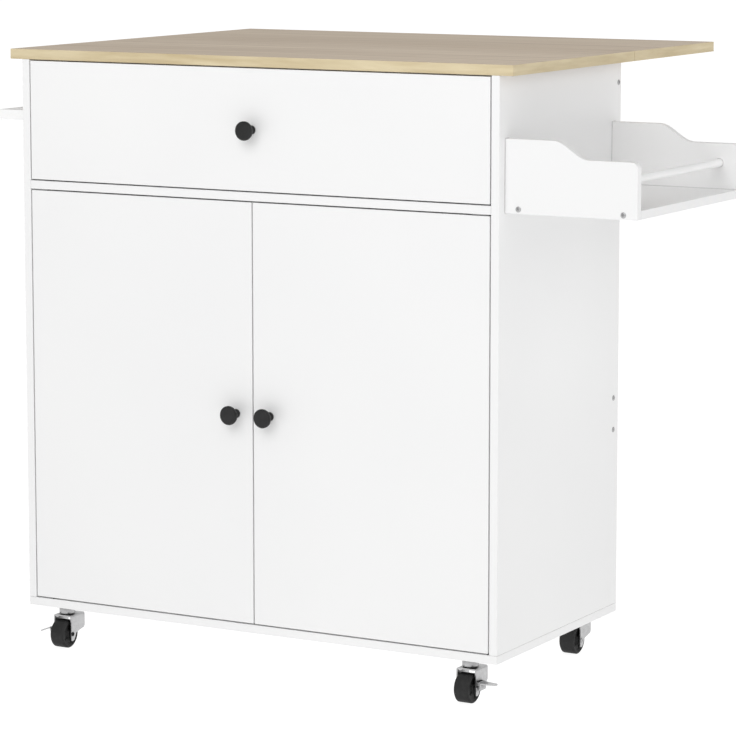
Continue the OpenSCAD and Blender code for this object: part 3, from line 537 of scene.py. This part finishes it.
def carve(bm, cutter):
    """Cuts one closed bmesh with another, and frees the cutter."""
    objects = []
    for part, source in (("body", bm), ("cutter", cutter)):
        bmesh.ops.recalc_face_normals(source, faces=source.faces)
        mesh = bpy.data.meshes.new(part)
        source.to_mesh(mesh)
        source.free()
        holder = bpy.data.objects.new(part, mesh)
        bpy.context.scene.collection.objects.link(holder)
        objects.append(holder)
    modifier = objects[0].modifiers.new("cut", "BOOLEAN")
    modifier.operation = "DIFFERENCE"
    modifier.solver = "EXACT"
    modifier.object = objects[1]
    bpy.context.view_layer.update()
    graph = bpy.context.evaluated_depsgraph_get()
    mesh = bpy.data.meshes.new_from_object(objects[0].evaluated_get(graph))
    made = bmesh.new()
    made.from_mesh(mesh)
    for holder in objects:
        data = holder.data
        bpy.data.objects.remove(holder)
        bpy.data.meshes.remove(data)
    bpy.data.meshes.remove(mesh)
    return made


# ------------------------------------------------------------------ what the frame says


def body_of(node):
    return NODES[node]["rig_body"]


def room_of(node):
    """The low corner, the high corner and the middle of a node's box."""
    low, high = [Vector(corner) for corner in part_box(node)]
    return low, high, (low + high) / 2


def solids(node):
    """The separate solids of a CAD node, each as a list of its points, in a fixed order."""
    bm = bmesh.new()
    bm.from_mesh(NODES[node].data)
    bmesh.ops.remove_doubles(bm, verts=bm.verts, dist=TINY)
    # A dict keeps its order. A set of vertices has another one on each run.
    left = dict.fromkeys(bm.verts)
    found = []
    while left:
        heap = [left.popitem()[0]]
        group = []
        while heap:
            vert = heap.pop()
            group.append(vert.co.copy())
            for edge in vert.link_edges:
                other = edge.other_vert(vert)
                if other in left:
                    del left[other]
                    heap.append(other)
        found.append(group)
    bm.free()
    return found


def box_of(points):
    return (Vector([min(p[i] for p in points) for i in range(3)]),
            Vector([max(p[i] for p in points) for i in range(3)]))


def screw_sizes(points):
    """A CAD screw's head face, the way its head faces, and its sizes, read from its points."""
    low, high = box_of(points)
    size = high - low
    axis = max(range(3), key=lambda i: size[i])
    across = (axis + 1) % 3
    middle = (low + high) / 2

    def width(level):
        near = [abs(p[across] - middle[across]) for p in points if abs(p[axis] - level) < TINY]
        return 2 * max(near)

    side = 1 if width(high[axis]) > width(low[axis]) else -1
    head_end, tip_end = (high, low) if side > 0 else (low, high)
    steps = sorted({round(p[axis], 6) for p in points}, key=lambda v: abs(v - head_end[axis]))
    seat = steps[1] if len(steps) > 2 else head_end[axis]
    facing = Vector((0, 0, 0))
    facing[axis] = side
    at = middle.copy()
    at[axis] = seat
    return {"seat": at, "facing": facing, "head_d": width(head_end[axis]),
            "head_t": abs(head_end[axis] - seat), "shank_d": width(tip_end[axis]),
            "shank_l": abs(seat - tip_end[axis])}


# ------------------------------------------------------------------ pieces

# The CAD nodes that keep their shape, by their look
KEPT = {
    "white_board": ["bottom_panel", "left_side_panel", "right_side_panel", "divider_panel",
                    "top_back_rail", "middle_back_rail", "front_stretcher", "shelf",
                    "drawer_front", "drawer_left_side", "drawer_right_side", "drawer_back",
                    "left_door", "right_door", "rack_front_board", "rack_back_board",
                    "rack_floor"],
    "oak_board": ["worktop", "drop_leaf"],
    "hardboard": ["back_panel", "drawer_bottom"],
    "white_rod": ["towel_rod", "towel_arms", "rack_rod"],
    "white_plastic": ["magnetic_catch"],
    "zinc_steel": ["worktop_hinge_straps", "leaf_hinge_straps", "leaf_hinge_pins",
                   "left_strike_plate", "right_strike_plate", "door_pivot_plates",
                   "shelf_pins", "caster_inserts"],
    "runner_steel": ["cabinet_runners", "middle_runners", "drawer_runners"],
}
EDGES = {"white_board": 0.5 * MM, "oak_board": 0.5 * MM, "hardboard": 0.3 * MM,
         "white_rod": 1.2 * MM, "white_plastic": 1.0 * MM, "zinc_steel": 0.3 * MM,
         "runner_steel": 0.25 * MM}
FORK_EDGE = 0.5 * MM
PEDAL_EDGE = 0.8 * MM
FLAT_ANGLE = math.radians(1)
SHARP_ANGLE = math.radians(40)
SCREW_NODES = ("carcass_screws", "bracket_screws", "rack_screws", "worktop_strap_screws",
               "leaf_strap_screws", "pivot_screws")
KNOB_NODES = ("drawer_knob", "left_door_knob", "right_door_knob")
FRONT_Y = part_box("left_door")[0][1]


def dress_node(node, look, edge=None):
    """Gives a CAD node its material and small rounded edges."""
    piece = NODES[node]
    piece.material_slots[0].link = "OBJECT"
    piece.material_slots[0].material = LOOKS[look]
    weld = piece.modifiers.new("weld", "WELD")
    weld.merge_threshold = TINY
    flats = piece.modifiers.new("flats", "DECIMATE")
    flats.decimate_type = "DISSOLVE"
    flats.angle_limit = FLAT_ANGLE
    bevel = piece.modifiers.new("edges", "BEVEL")
    bevel.use_clamp_overlap = look != "white_board"
    bevel.width = edge or EDGES[look]
    bevel.segments = 2
    bevel.limit_method = "ANGLE"
    bevel.angle_limit = SHARP_ANGLE
    normals = piece.modifiers.new("normals", "WEIGHTED_NORMAL")
    normals.keep_sharp = False


# A screw's head: the height of its rim as a share of the head's, and its cross slot as shares of
# the head's radius and height
RIM_SHARE = 0.35
SLOT_L, SLOT_W, SLOT_FLOOR, SLOT_TOP = 0.55, 0.11, 0.45, 1.5
SLOT_TURN = 0.35
SLOT_EDGE = 0.05 * MM
CORE_SHARE = 0.72
SCREW_PITCH = 1.6 * MM
SCREW_SPIN = 1.1


def screw_mesh(head_d, head_t, shank_d, shank_l):
    """A pan-head screw along Z: its seat at 0, its head above, its thread below."""
    r, shank = head_d / 2, shank_d / 2
    core = shank * CORE_SHARE
    steps = [math.radians(15 * i) for i in range(7)]
    shape = [(r * math.sin(a), head_t * (RIM_SHARE + (1 - RIM_SHARE) * math.cos(a)))
             for a in steps]
    shape += [(r, 0), (shank, 0)]
    for i in range(int((shank_l - 2 * SCREW_PITCH) / SCREW_PITCH)):
        z = -SCREW_PITCH * (i + 0.5)
        shape += [(core, z), (shank, z - SCREW_PITCH / 2)]
    shape += [(core, -shank_l + SCREW_PITCH), (0, -shank_l)]
    bm = lathe(shape, segments=24)
    for turn in (0, math.pi / 2):
        slot = block((-r * SLOT_L, -r * SLOT_W, head_t * SLOT_FLOOR),
                     (r * SLOT_L, r * SLOT_W, head_t * SLOT_TOP), SLOT_EDGE, steps=1)
        slot.transform(Matrix.Rotation(turn + SLOT_TURN, 4, "Z"))
        bm = carve(bm, slot)
    return bm


def dress_screws(node):
    """Slotted and threaded screws in the place of a group of CAD screws."""
    bm = bmesh.new()
    meshes = {}
    for index, points in enumerate(solids(node)):
        facts = screw_sizes(points)
        sizes = tuple(round(facts[k], 5) for k in ("head_d", "head_t", "shank_d", "shank_l"))
        if sizes not in meshes:
            made = screw_mesh(*sizes)
            meshes[sizes] = bpy.data.meshes.new("screw")
            made.to_mesh(meshes[sizes])
            made.free()
        copy = bmesh.new()
        copy.from_mesh(meshes[sizes])
        turn = Vector((0, 0, 1)).rotation_difference(facts["facing"]).to_matrix().to_4x4()
        spin = Matrix.Rotation(SCREW_SPIN * index, 4, "Z")
        add(bm, copy, Matrix.Translation(facts["seat"]) @ turn @ spin)
    for mesh in meshes.values():
        bpy.data.meshes.remove(mesh)
    finish_piece(node + "_turned", bm, "zinc_steel", body_of(node), [node])


KNOB_NECK_R = 5.5 * MM
KNOB_HEAD_T = 8 * MM
KNOB_COLLAR_T = 1 * MM
KNOB_SCREW_D = 4 * MM
KNOB_SCREW_HEAD = (8 * MM, 1 * MM)
# How far a knob's screw goes past the front of the board
KNOB_SCREW_BITE = 4 * MM


def dress_knob(node):
    """A turned knob with a collar, a waisted neck and a rounded head, and its screw."""
    low, high, middle = room_of(node)
    x, z = middle.x, middle.z
    r = (high.x - low.x) / 2
    reach = FRONT_Y - low.y
    collar, waist = KNOB_NECK_R + 1 * MM, KNOB_NECK_R - 1 * MM
    shoulder = reach - KNOB_HEAD_T
    # each corner's radius and distance from the front, and how much it is rounded
    corners = [(0, 0, 0), (collar, 0, 0.4), (collar, KNOB_COLLAR_T, 0.4), (waist, 3.5 * MM, 1.5),
               (waist, shoulder - 2 * MM, 2.0), (r - 2.5 * MM, shoulder, 2.0),
               (r, shoulder + 2.5 * MM, 2.0), (r, reach - 2 * MM, 1.2), (r - 2 * MM, reach, 1.2),
               (0, reach, 0)]
    profile = rounded([corner[:2] for corner in corners],
                      [corner[2] * MM for corner in corners], steps=5)
    bm = lathe(profile, segments=64)
    bm.transform(axes((1, 0, 0), (0, 0, 1), (0, -1, 0), (x, FRONT_Y, z)))
    finish_piece(node + "_turned", bm, "black_metal", body_of(node), [node])
    head_d, head_t = KNOB_SCREW_HEAD
    seat = high.y - head_t
    screw = screw_mesh(head_d, head_t, KNOB_SCREW_D, seat - FRONT_Y + KNOB_SCREW_BITE)
    screw.transform(axes((1, 0, 0), (0, 0, -1), (0, 1, 0), (x, seat, z)))
    finish_piece(node + "_screw", screw, "zinc_steel", body_of(node))


# ------------------------------------------------------------------ casters


WHEEL_BORE_R = 2.55 * MM
HUB_R = WHEEL_BORE_R + 4 * MM
# From the tread in to the rim, and from the rim in to the web
TREAD_T, RIM_T = 4.6 * MM, 1.6 * MM
WEB_DEPTH, RIM_DEPTH = 2.0 * MM, 0.9 * MM
RIBS = 5
RIB_HALF_T = 0.8 * MM
RIB_EDGE = 0.3 * MM


def wheel_mesh(r, half):
    """A moulded wheel about Z: a flat tread with shoulders, a stepped rim, a web and a hub."""
    rim = r - TREAD_T
    web = rim - RIM_T
    # each corner's radius and height, and how much it is rounded
    corners = [(WHEEL_BORE_R, half, 0.3), (HUB_R, half, 0.4),
               (HUB_R + 0.8 * MM, half - WEB_DEPTH, 0.6), (web - 0.8 * MM, half - WEB_DEPTH, 0.6),
               (web, half - RIM_DEPTH, 0.3), (rim, half - RIM_DEPTH, 0.25),
               (rim + 0.5 * MM, half - 0.1 * MM, 0.3), (r - 2.6 * MM, half, 0.8),
               (r, half - 2.0 * MM, 1.4)]
    corners += [(x, -z, radius) for x, z, radius in reversed(corners)]
    outline = rounded([corner[:2] for corner in corners],
                      [corner[2] * MM for corner in corners], steps=3, closed=True)
    return ring_lathe(outline, segments=96)


def dress_wheel(node):
    """A moulded wheel with ribs on both sides of its web."""
    low, high, middle = room_of(node)
    r, half = (high.z - low.z) / 2, (high.x - low.x) / 2
    bm = wheel_mesh(r, half)
    start, end = HUB_R + 0.3 * MM, r - TREAD_T - 2 * MM
    for k in range(RIBS):
        for face in (-1, 1):
            rib = block((start, -RIB_HALF_T, half - 2.6 * MM), (end, RIB_HALF_T, half - 1.0 * MM),
                        RIB_EDGE)
            if face < 0:
                rib.transform(Matrix.Scale(-1, 4, (0, 0, 1)))
            add(bm, rib, Matrix.Rotation(2 * math.pi / RIBS * k, 4, "Z"))
    bm.transform(axes((0, 1, 0), (0, 0, 1), (1, 0, 0), middle))
    finish_piece(node + "_moulded", bm, "black_tread", body_of(node), [node])


# Rings below this level belong to a mount's race and kingpin
RACE_LEVEL = -4 * MM
FLANGE_T = 2 * MM
KINGPIN_R, KINGPIN_HEAD_R, KINGPIN_HEAD_T = 4 * MM, 6 * MM, 1.9 * MM
STEM_PITCH = 1.25 * MM
STEM_CORE_SHARE, STEM_TIP_SHARE = 0.86, 0.8


def mount_mesh(rings, head, top):
    """A caster's mount about Z, from the CAD's rings of [radius, height over the bottom panel].

    Its threaded stem stands in the panel, up to top. Below hang its flange, its drum with a
    groove, its race and a kingpin with a riveted head, down to head.
    """
    flange_r = max(r for r, z in rings)
    race_r = max(r for r, z in rings if z < RACE_LEVEL)
    stem_r = max(r for r, z in rings if z > MM)
    foot = min(z for r, z in rings if abs(r - race_r) < TINY)
    neck_r = max(r for r, z in rings if z < foot - TINY)
    neck = min(z for r, z in rings if abs(r - neck_r) < TINY)
    rivet = head + KINGPIN_HEAD_T
    core = stem_r * STEM_CORE_SHARE
    shape = [(0, head), (4.6 * MM, head + 0.1 * MM), (5.8 * MM, head + 0.7 * MM),
             (KINGPIN_HEAD_R, rivet), (KINGPIN_R, rivet), (KINGPIN_R, neck), (neck_r, neck),
             (neck_r, foot + 0.1 * MM), (race_r - 0.9 * MM, foot + 0.1 * MM),
             (race_r - 0.3 * MM, foot + 0.4 * MM), (race_r, foot + 1.0 * MM),
             (race_r, -FLANGE_T - 0.9 * MM), (race_r - 0.4 * MM, -FLANGE_T - 0.6 * MM),
             (race_r - 0.4 * MM, -FLANGE_T), (flange_r - 0.7 * MM, -FLANGE_T),
             (flange_r, -FLANGE_T + 0.6 * MM), (flange_r, -0.4 * MM), (flange_r - 0.4 * MM, 0),
             (core, 0)]
    for i in range(int((top - STEM_PITCH) / STEM_PITCH)):
        z = STEM_PITCH * (i + 0.5)
        shape += [(core, z), (stem_r, z + STEM_PITCH / 2)]
    shape += [(stem_r * STEM_TIP_SHARE, top), (0, top)]
    return lathe(shape, segments=64)


def dress_mounts():
    """All four mounts in one piece."""
    node = "caster_mounts"
    bm = bmesh.new()
    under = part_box("bottom_panel")[0][2]
    for points in solids(node):
        low, high = box_of(points)
        x, y = (low.x + high.x) / 2, (low.y + high.y) / 2
        rings = [(math.hypot(p.x - x, p.y - y), p.z - under) for p in points]
        made = mount_mesh(rings, low.z - under, high.z - under)
        add(bm, made, Matrix.Translation((x, y, under)))
    finish_piece(node + "_turned", bm, "zinc_steel", body_of(node), [node])


AXLE_HEAD_T = 1 * MM
DARK_DISH, BRIGHT_DISH = 3 * MM, 0.5 * MM


def dress_axle(node, look, dish):
    """A riveted axle whose ends are dished to a given depth."""
    low, high, middle = room_of(node)
    half, r = (high.x - low.x) / 2, (high.z - low.z) / 2
    end = [(r - AXLE_HEAD_T, half - AXLE_HEAD_T), (r, half - AXLE_HEAD_T),
           (r * 0.95, half - 0.3 * MM), (r * 0.8, half), (r * 0.6, half - 0.15 * MM),
           (r * 0.55, half - dish), (0, half - dish)]
    bm = lathe([(x, -z) for x, z in reversed(end)] + end, segments=32)
    bm.transform(axes((0, 1, 0), (0, 0, 1), (1, 0, 0), middle))
    finish_piece(node + "_riveted", bm, look, body_of(node), [node])


def main():
    add_camera()
    add_studio()
    for look, nodes in KEPT.items():
        for node in nodes:
            dress_node(node, look)
    for node in SCREW_NODES:
        dress_screws(node)
    dress_mounts()
    for node in KNOB_NODES:
        dress_knob(node)
    for corner in ("front_left", "front_right", "back_left", "back_right"):
        dress_wheel(corner + "_wheel")
        # the photograph shows the front left axle's end dark and the others bright
        if corner == "front_left":
            # the black paint on this axle's deeply dished end is painted shade, standing in for
            # the shadow in its hollow
            dress_axle(corner + "_axle", "black_metal", DARK_DISH)
        else:
            dress_axle(corner + "_axle", "zinc_steel", BRIGHT_DISH)
        dress_node(corner + "_fork", "zinc_steel", FORK_EDGE)
    for side in ("left", "right"):
        dress_node(side + "_brake_pedal", "zinc_steel", PEDAL_EDGE)


main()
